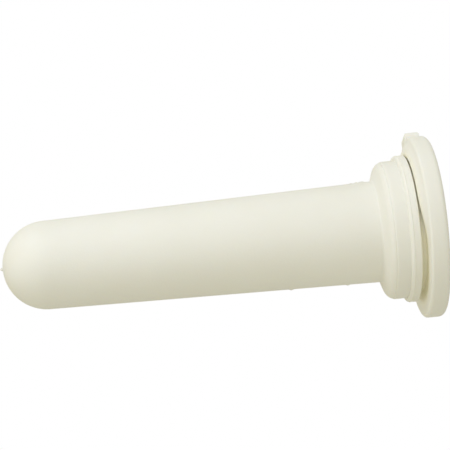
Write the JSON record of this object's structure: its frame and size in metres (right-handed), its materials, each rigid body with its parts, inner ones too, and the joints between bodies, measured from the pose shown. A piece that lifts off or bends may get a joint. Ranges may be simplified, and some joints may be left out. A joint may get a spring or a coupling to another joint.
{
  "type": "calf feeding teat",
  "caption": "Hollow rubber feeding teat with a domed tip, a stepped collar, a groove for a bucket wall and a base flange, holding a ball-type non-return valve.",
  "frame": {"origin": "centre of the flange's back face, on the teat's axis, where the milk inlet opens", "axes": "+Z along the teat towards its domed tip; the moulding tab on the flange's rim points along +X"},
  "size_m": [0.0435, 0.042, 0.1006],
  "materials": {
    "teat_rubber": "satin ivory natural rubber",
    "valve_plastic": "satin milky white moulded polypropylene",
    "seat_rubber": "matte brick red silicone",
    "ball_steel": "ground and polished stainless steel",
    "cage_plastic": "satin milky white moulded polypropylene"
  },
  "bodies": {
    "teat": {"teat": "teat_rubber", "valve_body": "valve_plastic", "seat_ring": "seat_rubber", "ball_cage": "cage_plastic"},
    "ball": {"valve_ball": "ball_steel"}
  },
  "joints": [
    {"name": "ball_lift", "type": "slide", "parent": "teat", "child": "ball", "axis": [0, 0, 1], "range_m": [0, 0.003]}
  ]
}
